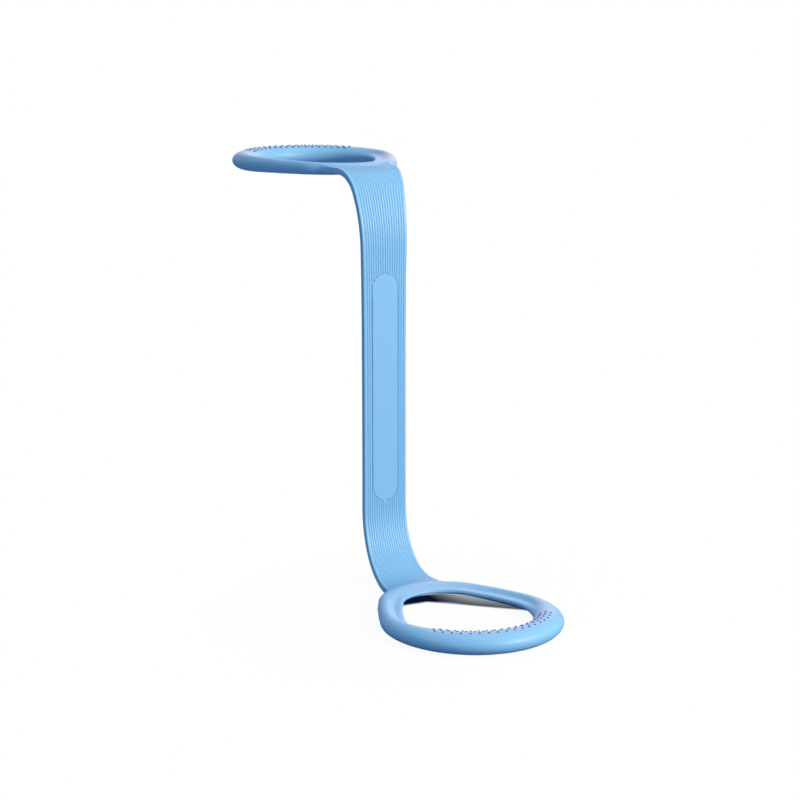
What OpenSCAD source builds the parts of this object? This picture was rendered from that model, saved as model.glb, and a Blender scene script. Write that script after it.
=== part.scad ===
// Stretching strap: one soft moulding, drawn as the regions that flex or stay stiff by themselves.
// A flat ribbed strap hangs between two closed loops. The upper loop is held and reaches back (-X), the lower
// loop lies flat and reaches forward (+X). +X is the front of the strap, Y runs across it and Z is up.
// The origin is the centre of the upper loop's grip arc, on the loop's mid-plane.

/* [Strap] */
// Width of the straight strap
strap_width = 36; // [30:0.5:42]
// Thickness of the straight strap, over its ribs
strap_thickness = 5; // [4:0.1:6.5]
// Length of the straight part between the two bends
straight_length = 204; // [196:1:260]
// Length of the middle region, between the stretching and the twisting region
middle_length = 30; // [16:1:50]
// Ribs across each face of the straight strap
rib_count = 18; // [12:1:22]
// Width of the grooves between the ribs
groove_width = 0.8; // [0.4:0.05:1.1]
// Depth of the grooves between the ribs
groove_depth = 0.45; // [0.2:0.05:0.8]
// How far each edge of the strap spreads by the end of a bend
strap_flare = 3; // [1:0.25:6]

/* [Label panel] */
// Length of the smooth panel on the front
panel_length = 179; // [120:1:186]
// Width of the smooth panel
panel_width = 20; // [14:0.5:24]
// How deep the panel is seated; it ends flush with the ribs
panel_seat = 0.9; // [0.85:0.05:1.5]
// How far the panel's middle lies below the middle of the straight part
panel_drop = 7; // [0:0.5:8]
// Room between the panel and the edge of its seat
panel_clearance = 0.2; // [0.1:0.05:0.4]

/* [Loops] */
// Radius of a loop's centre line at the strap end
strap_end_radius = 38; // [34:0.5:44]
// Radius of a loop's centre line at the grip end
grip_end_radius = 57; // [50:0.5:64]
// Angle that each straight side makes with the loop's length
side_taper = 22; // [16:1:30]
// Diameter of the loop's round section
tube_diameter = 18; // [16:0.25:21]
// Thickness of a loop where it meets the strap
loop_strap_thickness = 8.6; // [7.8:0.1:11]

/* [Grip nubs] */
// Diameter of a nub at its foot
nub_diameter = 2.2; // [1.6:0.1:2.8]
// Height of a nub
nub_height = 0.7; // [0.4:0.05:1]
// Distance between the rows of nubs
nub_row_gap = 2.5; // [2.2:0.1:3]
// Distance between nubs in a row
nub_pitch = 7; // [5:0.25:9]
// Angle of the grip arc that carries nubs, to each side
nub_half_angle = 65; // [40:1:80]

/* [Necks] */
// Radius of the fillets between the strap's edges and a loop
neck_fillet = 25; // [15:0.5:40]
// How far the fillets run in under the loop's outline
fillet_run_in = 1.8; // [1:0.1:2.5]
// How far a loop's flat faces stand proud of the neck
neck_step = 0.4; // [0.2:0.05:0.7]

/* [Upper bend] */
// Radius of the tight arc beside the upper neck
upper_tight_radius = 24; // [18:0.5:40]
// Radius of the gentle arc beside the straight strap
upper_gentle_radius = 104; // [70:1:140]
// Angle of the gentle arc
upper_gentle_angle = 25; // [10:1:40]

/* [Lower bend] */
// Radius of the tight arc beside the lower neck
lower_tight_radius = 42; // [30:0.5:60]
// Radius of the gentle arc beside the straight strap
lower_gentle_radius = 63; // [50:1:100]
// Angle of the gentle arc
lower_gentle_angle = 31; // [10:1:45]

/* [Hidden] */
$fn = 96;
loop_colour = "#8ec5f3";
strap_colour = "#82bdec";
panel_colour = "#8cc6f3";
nub_colour = "#79b4e6";

// How far cutting solids reach past the faces that they cut
cut_over = 1;
// How far two stretches of one moulding run into each other where they join
join_overlap = 0.002;
tube_radius = tube_diameter / 2;
rib_pitch = strap_width / rib_count;
groove_shift = rib_count % 2 == 0 ? 0 : rib_pitch / 2;
neck_width = strap_width + 2 * strap_flare;

// A loop's centre line: two end arcs on the X axis, joined by straight sides that touch both
arc_spacing = (grip_end_radius - strap_end_radius) / sin(side_taper);
side_length = arc_spacing * cos(side_taper);

// Two flat faces cut the tube: thin at the strap end, and just wide enough for the nubs at the grip end
nub_flat = 2 * nub_row_gap + nub_diameter + nub_height / 3;
strap_half = loop_strap_thickness / 2;
grip_half = sqrt(tube_radius ^ 2 - (nub_flat / 2) ^ 2);
loop_length = strap_end_radius + arc_spacing + grip_end_radius + tube_diameter;
face_slope = (grip_half - strap_half) / loop_length;
face_angle = atan(face_slope);

// The neck: its fillets touch the strap's edges and run in under the loop
junction_radius = strap_end_radius + tube_radius - fillet_run_in;
fillet_y = neck_width / 2 + neck_fillet;
neck_reach = sqrt((junction_radius + neck_fillet) ^ 2 - fillet_y ^ 2);
loop_start = neck_reach - strap_end_radius - tube_radius;
neck_end = neck_reach - strap_end_radius;
neck_half = face_half(neck_end) - neck_step;

// Points of the strap's line in the XZ plane, from the upper neck down to the lower neck
upper_end = [arc_spacing + neck_reach, 0];
upper_turn = upper_end + upper_tight_radius * (ray(upper_gentle_angle) - [0, 1]);
upper_strap = upper_turn + upper_gentle_radius * ([1, 0] - ray(upper_gentle_angle));
strap_x = upper_strap[0];
straight_top = upper_strap[1];
straight_bottom = straight_top - straight_length;
lower_turn = [strap_x, straight_bottom] + lower_gentle_radius * ([1, 0] - ray(lower_gentle_angle));
lower_tight_angle = 90 + face_angle - lower_gentle_angle;
lower_end = lower_turn + lower_tight_radius * (ray(lower_gentle_angle) + ray(270 + face_angle));
strap_middle = (straight_top + straight_bottom) / 2;
panel_middle = strap_middle - panel_drop;

function ray(angle) = [cos(angle), sin(angle)];

// Half the loop's thickness at x, measured from the end of the bend
function face_half(x) = strap_half + (x - loop_start) * face_slope;

// Groove places across a face of the given width
function groove_places(width) = let(count = ceil(width / 2 / rib_pitch))
    [for (i = [-count : count]) let(y = i * rib_pitch + groove_shift) if (abs(y) < (width - rib_pitch) / 2) y];

// Outline of one ribbed face, at half thickness half, with its grooves
function ribbed_face(width, half) = concat(
    [[half, -width / 2]],
    [for (y = groove_places(width)) each [
        [half, y - groove_width / 2],
        [half - groove_depth, y - groove_width / 2],
        [half - groove_depth, y + groove_width / 2],
        [half, y + groove_width / 2]]],
    [[half, width / 2]]);

// Section of the strap: X through its thickness, Y across it, ribbed on both faces
module strap_section(width) {
    face = ribbed_face(width, strap_thickness / 2);
    polygon(concat(face, [for (p = face) -p]));
}

// Puts a piece drawn in a loop's own frame (X away from the strap) at the upper or the lower neck
module at_upper_neck() {
    translate([upper_end[0], 0, upper_end[1]]) rotate([0, 0, 180]) children();
}

module at_lower_neck() {
    translate([lower_end[0], 0, lower_end[1]]) rotate([0, -face_angle, 0]) children();
}

// The solid between the loop's two flat faces
module between_faces() {
    from = loop_start - cut_over;
    to = loop_start + loop_length + cut_over;
    width = 2 * (grip_end_radius + tube_diameter);
    translate([0, width / 2, 0]) rotate([90, 0, 0])
        linear_extrude(width)
            polygon([[from, -face_half(from)], [to, -face_half(to)], [to, face_half(to)], [from, face_half(from)]]);
}

// An arc of the loop's tube that starts on the Y axis and turns away from X, run on a little to join the next
module tube_arc(radius, angle) {
    run_on = join_overlap / radius * 180 / PI;
    rotate([0, 0, 90])
        rotate_extrude(angle = angle + run_on) translate([radius, 0]) circle(tube_radius);
}

// Keeps what lies between the flat faces of a piece drawn along the straight side, from the strap-end arc's centre
module flattened() {
    intersection() {
        rotate([0, 0, side_taper]) children();
        translate([-neck_reach, 0, 0]) between_faces();
    }
}

// One half of the loop: half the strap-end arc, a straight side and half the grip-end arc
module half_loop() {
    flattened() tube_arc(strap_end_radius, 90 - side_taper);
    flattened() translate([-join_overlap, strap_end_radius, 0]) rotate([0, 90, 0])
        cylinder(h = side_length + 2 * join_overlap, r = tube_radius);
    flattened() translate([side_length, strap_end_radius - grip_end_radius, 0])
        mirror([1, 0, 0]) tube_arc(grip_end_radius, 90 + side_taper);
}

module loop() {
    translate([neck_reach, 0, 0])
        for (side = [0, 1]) mirror([0, side, 0]) half_loop();
}

// Nubs on the upper flat face of the grip: a full middle row, and shorter outer rows half a pitch along
module grip_nubs() {
    ball_radius = (nub_height ^ 2 + (nub_diameter / 2) ^ 2) / (2 * nub_height);
    difference() {
        for (row = [-1 : 1]) {
            radius = grip_end_radius + row * nub_row_gap;
            step = nub_pitch / grip_end_radius * 180 / PI;
            last = floor(nub_half_angle / step);
            for (i = [-last : last - abs(row)]) {
                foot = radius * ray((i + abs(row) / 2) * step) + [neck_reach + arc_spacing, 0];
                translate([foot[0], foot[1], face_half(foot[0]) + nub_height - ball_radius])
                    sphere(ball_radius);
            }
        }
        between_faces();
    }
}

// Outline of the neck seen from above, from the end of the bend to the middle of the loop's tube
module neck_plan() {
    difference() {
        polygon([[0, -fillet_y], [neck_reach, 0], [0, fillet_y]]);
        for (side = [-1, 1]) translate([0, side * fillet_y]) circle(neck_fillet);
        translate([neck_reach, 0]) circle(strap_end_radius);
    }
}

// Side view of one face of the neck, between the face itself lowered by depth and a line above it
module neck_face_strip(depth) {
    polygon([[-cut_over, strap_thickness / 2 - depth], [0, strap_thickness / 2 - depth],
        [neck_end, neck_half - depth], [neck_end + tube_radius, neck_half - depth],
        [neck_end + tube_radius, neck_half + cut_over], [-cut_over, neck_half + cut_over]]);
}

module neck() {
    difference() {
        linear_extrude(2 * neck_half, center = true) neck_plan();
        for (side = [0, 1]) mirror([0, 0, side]) {
            translate([0, fillet_y, 0]) rotate([90, 0, 0])
                linear_extrude(2 * fillet_y) neck_face_strip(0);
            for (y = groove_places(neck_width))
                translate([0, y + groove_width / 2, 0]) rotate([90, 0, 0])
                    linear_extrude(groove_width) neck_face_strip(groove_depth);
        }
        loop();
    }
}

// A bend in its own frame, bending towards +X: the origin is where its two arcs meet and Z runs along the strap
// there, with the gentle arc above and the tight arc below
module bend(tight_radius, tight_angle, gentle_radius, gentle_angle) {
    outline_start = gentle_radius * ([1, 0] + ray(180 - gentle_angle));
    outline_end = tight_radius * ([1, 0] + ray(180 + tight_angle));
    intersection() {
        mirror([0, 0, 1]) bend_arc(gentle_radius, gentle_angle, 0);
        bend_outline(outline_start, outline_end, gentle_radius);
    }
    intersection() {
        bend_arc(tight_radius, tight_angle, join_overlap);
        bend_outline(outline_start, outline_end, gentle_radius);
    }
}

// One arc of a bend: the ribbed section turned about an axis along Y at X = radius, down from the origin and
// starting early by overlap
module bend_arc(radius, angle, overlap) {
    early = overlap / radius * 180 / PI;
    translate([radius, 0, 0]) rotate([90, 0, 0]) rotate([0, 0, 180 - early])
        rotate_extrude(angle = angle + early) translate([radius, 0]) strap_section(neck_width);
}

// The spreading outline of a bend, seen square to the line from its strap end to its neck end
module bend_outline(strap_end, loop_end, depth) {
    span = loop_end - strap_end;
    reach = norm(span);
    past = strap_thickness;
    spread = strap_flare * past / reach;
    translate([strap_end[0], 0, strap_end[1]]) rotate([0, -atan2(span[1], span[0]), 0])
        linear_extrude(2 * depth, center = true)
            polygon([[-past, spread - strap_width / 2], [reach + past, -neck_width / 2 - spread],
                [reach + past, neck_width / 2 + spread], [-past, strap_width / 2 - spread]]);
}

// A length of straight strap between two heights, with the seat of the panel in its front
module web(bottom, top) {
    difference() {
        translate([strap_x, 0, bottom]) linear_extrude(top - bottom) strap_section(strap_width);
        panel_plate(panel_clearance, cut_over);
    }
}

// The panel with its round ends, grown sideways by spread and forwards by proud
module panel_plate(spread, proud) {
    half_run = (panel_length - panel_width) / 2;
    translate([strap_x + strap_thickness / 2 - panel_seat, 0, panel_middle]) rotate([90, 0, 90])
        linear_extrude(panel_seat + proud) {
            square([panel_width + 2 * spread, 2 * half_run], center = true);
            for (end = [-1, 1]) translate([0, end * half_run]) circle(panel_width / 2 + spread);
        }
}

module upper_loop() {
    color(loop_colour) at_upper_neck() loop();
}

module upper_grip_nubs() {
    color(nub_colour) at_upper_neck() grip_nubs();
}

module upper_neck() {
    color(strap_colour) at_upper_neck() neck();
}

module upper_bend() {
    color(strap_colour)
        translate([upper_turn[0], 0, upper_turn[1]]) rotate([0, 180 - upper_gentle_angle, 0])
            bend(upper_tight_radius, 90 - upper_gentle_angle, upper_gentle_radius, upper_gentle_angle);
}

module upper_web() {
    color(strap_colour) web(strap_middle + middle_length / 2, straight_top);
}

module middle_web() {
    color(strap_colour) web(strap_middle - middle_length / 2, strap_middle + middle_length / 2);
}

module label_panel() {
    color(panel_colour) panel_plate(0, 0);
}

module lower_web() {
    color(strap_colour) web(straight_bottom, strap_middle - middle_length / 2);
}

module lower_bend() {
    color(strap_colour)
        translate([lower_turn[0], 0, lower_turn[1]]) rotate([0, -lower_gentle_angle, 0])
            bend(lower_tight_radius, lower_tight_angle, lower_gentle_radius, lower_gentle_angle);
}

module lower_neck() {
    color(strap_colour) at_lower_neck() neck();
}

module lower_loop() {
    color(loop_colour) at_lower_neck() loop();
}

module lower_grip_nubs() {
    color(nub_colour) at_lower_neck() grip_nubs();
}

upper_loop();
upper_grip_nubs();
upper_neck();
upper_bend();
upper_web();
middle_web();
label_panel();
lower_web();
lower_bend();
lower_neck();
lower_loop();
lower_grip_nubs();
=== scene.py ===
"""Looks of the stretching strap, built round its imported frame.

One soft moulding in sky blue: two egg-shaped rings with nubbed grips, a ribbed band that flares into them at
each end, and a smooth bare panel on its front. Sizes are in millimetres until a mesh is made.
"""

import logging
import math
from dataclasses import dataclass, field
from enum import Enum
from typing import Any

import bpy
import numpy as np
from mathutils import Matrix, Vector


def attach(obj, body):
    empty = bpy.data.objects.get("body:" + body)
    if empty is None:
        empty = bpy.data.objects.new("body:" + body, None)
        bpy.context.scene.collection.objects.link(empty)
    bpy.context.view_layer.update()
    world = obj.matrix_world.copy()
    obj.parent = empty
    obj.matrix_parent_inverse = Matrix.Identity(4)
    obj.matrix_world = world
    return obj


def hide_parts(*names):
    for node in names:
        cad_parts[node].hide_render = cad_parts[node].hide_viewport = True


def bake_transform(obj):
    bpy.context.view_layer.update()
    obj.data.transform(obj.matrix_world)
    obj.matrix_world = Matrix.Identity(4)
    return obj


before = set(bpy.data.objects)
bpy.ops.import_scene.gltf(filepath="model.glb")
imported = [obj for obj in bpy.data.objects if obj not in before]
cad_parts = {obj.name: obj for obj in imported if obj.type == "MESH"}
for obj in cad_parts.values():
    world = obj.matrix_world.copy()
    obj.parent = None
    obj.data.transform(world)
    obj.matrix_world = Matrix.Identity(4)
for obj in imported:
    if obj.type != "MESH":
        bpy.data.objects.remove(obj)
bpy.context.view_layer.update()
MM = 0.001
log = logging.getLogger("stretching_strap")

Link = bpy.types.NodeSocket | float | int | tuple | bpy.types.Material


def linear_colour(hex_code: str) -> tuple[float, float, float, float]:
    """Turns an sRGB hex colour into linear light.

    Args:
        hex_code: six hex digits after a hash, such as "#8cc6f3".

    Returns:
        Linear red, green, blue and an alpha of 1.
    """
    digits = hex_code.lstrip("#")
    shares = [int(digits[place:place + 2], 16) / 255 for place in (0, 2, 4)]
    red, green, blue = (s / 12.92 if s <= 0.04045 else ((s + 0.055) / 1.055) ** 2.4 for s in shares)
    return red, green, blue, 1.0


def add_node(tree: bpy.types.NodeTree, kind: str, links: dict[str | int, Link] | None = None,
             **settings: Any) -> bpy.types.Node:
    """Adds a node with its settings, and fills its inputs with links or values.

    Args:
        tree: the tree that takes the node.
        kind: the node's type name.
        links: input name or place, with the socket that feeds it or its value.
        settings: the node's own properties.

    Returns:
        The new node.
    """
    node = tree.nodes.new(kind)
    for name, value in settings.items():
        setattr(node, name, value)
    for place, value in (links or {}).items():
        if isinstance(value, bpy.types.NodeSocket):
            tree.links.new(value, node.inputs[place])
        else:
            node.inputs[place].default_value = value
    return node


def worked(tree: bpy.types.NodeTree, operation: str, *values: Link) -> bpy.types.NodeSocket:
    """Adds a step of arithmetic.

    Args:
        tree: the tree that takes the step.
        operation: the operation's name.
        values: its inputs, in order.

    Returns:
        The result.
    """
    return add_node(tree, "ShaderNodeMath", dict(enumerate(values)), operation=operation).outputs[0]


def ramped(tree: bpy.types.NodeTree, value: bpy.types.NodeSocket, run: tuple[Link, Link],
           ends: tuple[float, float] = (0.0, 1.0), eased: bool = False) -> bpy.types.NodeSocket:
    """Adds a ramp that is held at both ends.

    Args:
        tree: the tree that takes the ramp.
        value: what the ramp follows.
        run: the values between which it runs.
        ends: what it gives at the start and at the end of the run.
        eased: whether it eases in and out.

    Returns:
        The ramp's result.
    """
    links = {"Value": value, "From Min": run[0], "From Max": run[1], "To Min": ends[0], "To Max": ends[1]}
    kind = "SMOOTHSTEP" if eased else "LINEAR"
    return add_node(tree, "ShaderNodeMapRange", links, interpolation_type=kind).outputs["Result"]


def mixed_colour(tree: bpy.types.NodeTree, share: bpy.types.NodeSocket, first: bpy.types.NodeSocket | str,
                 second: bpy.types.NodeSocket | str) -> bpy.types.NodeSocket:
    """Mixes two colours.

    Args:
        tree: the tree that takes the mix.
        share: how much of the second colour shows.
        first: a socket, or an sRGB hex colour.
        second: the same.

    Returns:
        The mixed colour.
    """
    ends = [linear_colour(end) if isinstance(end, str) else end for end in (first, second)]
    mix = add_node(tree, "ShaderNodeMix", {"Factor": share, 6: ends[0], 7: ends[1]}, data_type="RGBA")
    return mix.outputs[2]


def metres(run: tuple[float, float]) -> tuple[float, float]:
    """Turns a pair of lengths in millimetres into metres."""
    return run[0] * MM, run[1] * MM


def smooth_step(share: np.ndarray | float) -> np.ndarray | float:
    """Eases a share between 0 and 1 in and out."""
    held = np.clip(share, 0.0, 1.0)
    return held * held * (3.0 - 2.0 * held)


def swept_mesh(name: str, loops: np.ndarray, closed: bool) -> bpy.types.Mesh:
    """Joins section loops, one after another, into a closed skin.

    Args:
        name: the mesh's name.
        loops: section points in millimetres, by station and then round the section.
        closed: whether the last loop joins the first; if not, both ends are capped.

    Returns:
        The mesh in metres, with smooth faces and crisp caps.
    """
    stations, points = loops.shape[:2]
    index = np.arange(stations * points).reshape(stations, points)
    here = index if closed else index[:-1]
    after = np.roll(index, -1, axis=0) if closed else index[1:]
    corners = [here, np.roll(here, -1, axis=1), np.roll(after, -1, axis=1), after]
    faces = np.stack(corners, axis=-1).reshape(-1, 4).tolist()
    if not closed:
        faces += [index[0][::-1].tolist(), index[-1].tolist()]
    mesh = bpy.data.meshes.new(name)
    mesh.from_pydata((loops.reshape(-1, 3) * MM).tolist(), [], faces)
    mesh.validate()
    mesh.update()
    if signed_volume(mesh) < 0:
        mesh.flip_normals()
    return mesh


def signed_volume(mesh: bpy.types.Mesh) -> float:
    """Gives a closed mesh's volume, which is negative where its faces point inwards."""
    mesh.calc_loop_triangles()
    return sum(mesh.vertices[a].co.dot(mesh.vertices[b].co.cross(mesh.vertices[c].co))
               for a, b, c in (t.vertices for t in mesh.loop_triangles)) / 6


def finished(name: str, mesh: bpy.types.Mesh, crisp_angle: float = 50.0) -> bpy.types.Object:
    """Shades a mesh smooth, keeps its hard corners crisp and puts it in the scene.

    Args:
        name: the piece's name.
        mesh: its mesh in metres, in place.
        crisp_angle: the corner, in degrees, from which an edge stays crisp.

    Returns:
        The new object, at the origin.
    """
    mesh.polygons.foreach_set("use_smooth", [True] * len(mesh.polygons))
    mesh.set_sharp_from_angle(angle=math.radians(crisp_angle))
    piece = bpy.data.objects.new(name, mesh)
    bpy.context.scene.collection.objects.link(piece)
    log.info("%s: %d faces", name, len(mesh.polygons))
    return piece


def baked_tree(name: str, base: bpy.types.Mesh, tree: bpy.types.NodeTree,
               values: dict[str, Link]) -> bpy.types.Mesh:
    """Runs a geometry tree on a mesh once and keeps the result as a plain mesh.

    Args:
        name: the name of the mesh that comes back.
        base: what the tree starts from.
        tree: the geometry tree.
        values: the tree's named inputs.

    Returns:
        The plain mesh.
    """
    carrier = bpy.data.objects.new(name + "_carrier", base)
    bpy.context.scene.collection.objects.link(carrier)
    modifier = carrier.modifiers.new(tree.name, "NODES")
    modifier.node_group = tree
    for item in tree.interface.items_tree:
        if item.item_type == "SOCKET" and item.in_out == "INPUT" and item.name in values:
            modifier[item.identifier] = values[item.name]
    bpy.context.view_layer.update()
    shown = carrier.evaluated_get(bpy.context.evaluated_depsgraph_get())
    made = bpy.data.meshes.new_from_object(shown)
    made.name = name
    carrier.modifiers.remove(modifier)
    bpy.data.objects.remove(carrier)
    return made


def new_tree(name: str, sizes: dict[str, str]) -> tuple[bpy.types.NodeTree, bpy.types.Node]:
    """Starts a geometry tree with a geometry input, named sizes and a geometry output.

    Args:
        name: the tree's name.
        sizes: input names with their socket types.

    Returns:
        The tree and its input node.
    """
    tree = bpy.data.node_groups.new(name, "GeometryNodeTree")
    tree.interface.new_socket("Geometry", in_out="INPUT", socket_type="NodeSocketGeometry")
    for size, kind in sizes.items():
        tree.interface.new_socket(size, in_out="INPUT", socket_type=kind)
    tree.interface.new_socket("Geometry", in_out="OUTPUT", socket_type="NodeSocketGeometry")
    return tree, tree.nodes.new("NodeGroupInput")


def close_tree(tree: bpy.types.NodeTree, geometry: bpy.types.NodeSocket,
               finish: bpy.types.NodeSocket) -> None:
    """Ends a geometry tree: makes its instances real, dresses them and hands them out.

    Args:
        tree: the geometry tree.
        geometry: what the tree has made.
        finish: the input that names the material.
    """
    real = add_node(tree, "GeometryNodeRealizeInstances", {"Geometry": geometry})
    dressed = add_node(tree, "GeometryNodeSetMaterial",
                       {"Geometry": real.outputs["Geometry"], "Material": finish})
    add_node(tree, "NodeGroupOutput", {"Geometry": dressed.outputs["Geometry"]})


def bare_tree(owner: bpy.types.Material | bpy.types.World) -> bpy.types.NodeTree:
    """Gives a material or a world an empty shader tree."""
    owner.use_nodes = True
    owner.node_tree.nodes.clear()
    return owner.node_tree


class End(Enum):
    """Which end of the strap a piece belongs to."""

    UPPER = "upper"
    LOWER = "lower"


@dataclass(frozen=True)
class MouldedRubber:
    """Injection-moulded thermoplastic rubber: a satin skin whose fine mould grain keeps every highlight soft.

    Colours are sRGB. A mould's grain is too fine to show at its real size, so it is drawn coarser.
    """

    name: str
    colour: str
    shade: str
    # The groove colour is painted shade: the rubber is drawn darker in its grooves.
    groove_shade_colour: str
    roughness: float
    gloss_swing: float = 0.05
    refraction: float = 1.45
    grain_mm: float = 0.7
    grain_depth_mm: float = 0.008
    grain_detail: float = 2.0
    mottle_mm: float = 28.0
    mottle_detail: float = 3.0

    def material(self) -> bpy.types.Material:
        """Builds the finish: slow mottling, painted shade in the grooves and a fine grain.

        Returns:
            The material.
        """
        made = bpy.data.materials.new(self.name)
        tree = bare_tree(made)
        place = add_node(tree, "ShaderNodeTexCoord").outputs["Object"]
        mottle, grain = (
            add_node(tree, "ShaderNodeTexNoise",
                     {"Vector": place, "Scale": 1 / (size * MM), "Detail": detail}).outputs["Fac"]
            for size, detail in ((self.mottle_mm, self.mottle_detail), (self.grain_mm, self.grain_detail)))
        tone = mixed_colour(tree, mottle, self.colour, self.shade)
        groove = add_node(tree, "ShaderNodeAttribute", attribute_name="groove")
        # The grooves are painted darker here, as the shade that falls in them.
        skin = mixed_colour(tree, groove.outputs["Fac"], tone, self.groove_shade_colour)
        bump = add_node(tree, "ShaderNodeBump",
                        {"Height": grain, "Distance": self.grain_depth_mm * MM, "Strength": 1.0})
        satin = ramped(tree, grain, (0.0, 1.0),
                       (self.roughness - self.gloss_swing, self.roughness + self.gloss_swing))
        shader = add_node(tree, "ShaderNodeBsdfPrincipled",
                          {"Base Color": skin, "Roughness": satin, "Normal": bump.outputs["Normal"],
                           "IOR": self.refraction})
        add_node(tree, "ShaderNodeOutputMaterial", {"Surface": shader.outputs["BSDF"]})
        return made


@dataclass(frozen=True)
class NeckFrame:
    """A ring's own frame: u runs from the end of the bend into the ring, v across it and w up."""

    origin: tuple[float, float]
    tilt: float
    turned: bool

    def matrix(self) -> Matrix:
        """Gives the frame's place in the row, in millimetres."""
        turn = Matrix.Rotation(math.pi if self.turned else 0.0, 4, "Z")
        lean = Matrix.Rotation(-math.radians(self.tilt), 4, "Y")
        return Matrix.Translation((self.origin[0], 0.0, self.origin[1])) @ lean @ turn

    def place(self, points: np.ndarray) -> np.ndarray:
        """Takes points from the ring's frame to the row's frame.

        Args:
            points: an array whose last axis is u, v, w in millimetres.

        Returns:
            The same points as X, Y, Z in millimetres.
        """
        grid = np.array(self.matrix())
        return points @ grid[:3, :3].T + grid[:3, 3]


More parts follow.
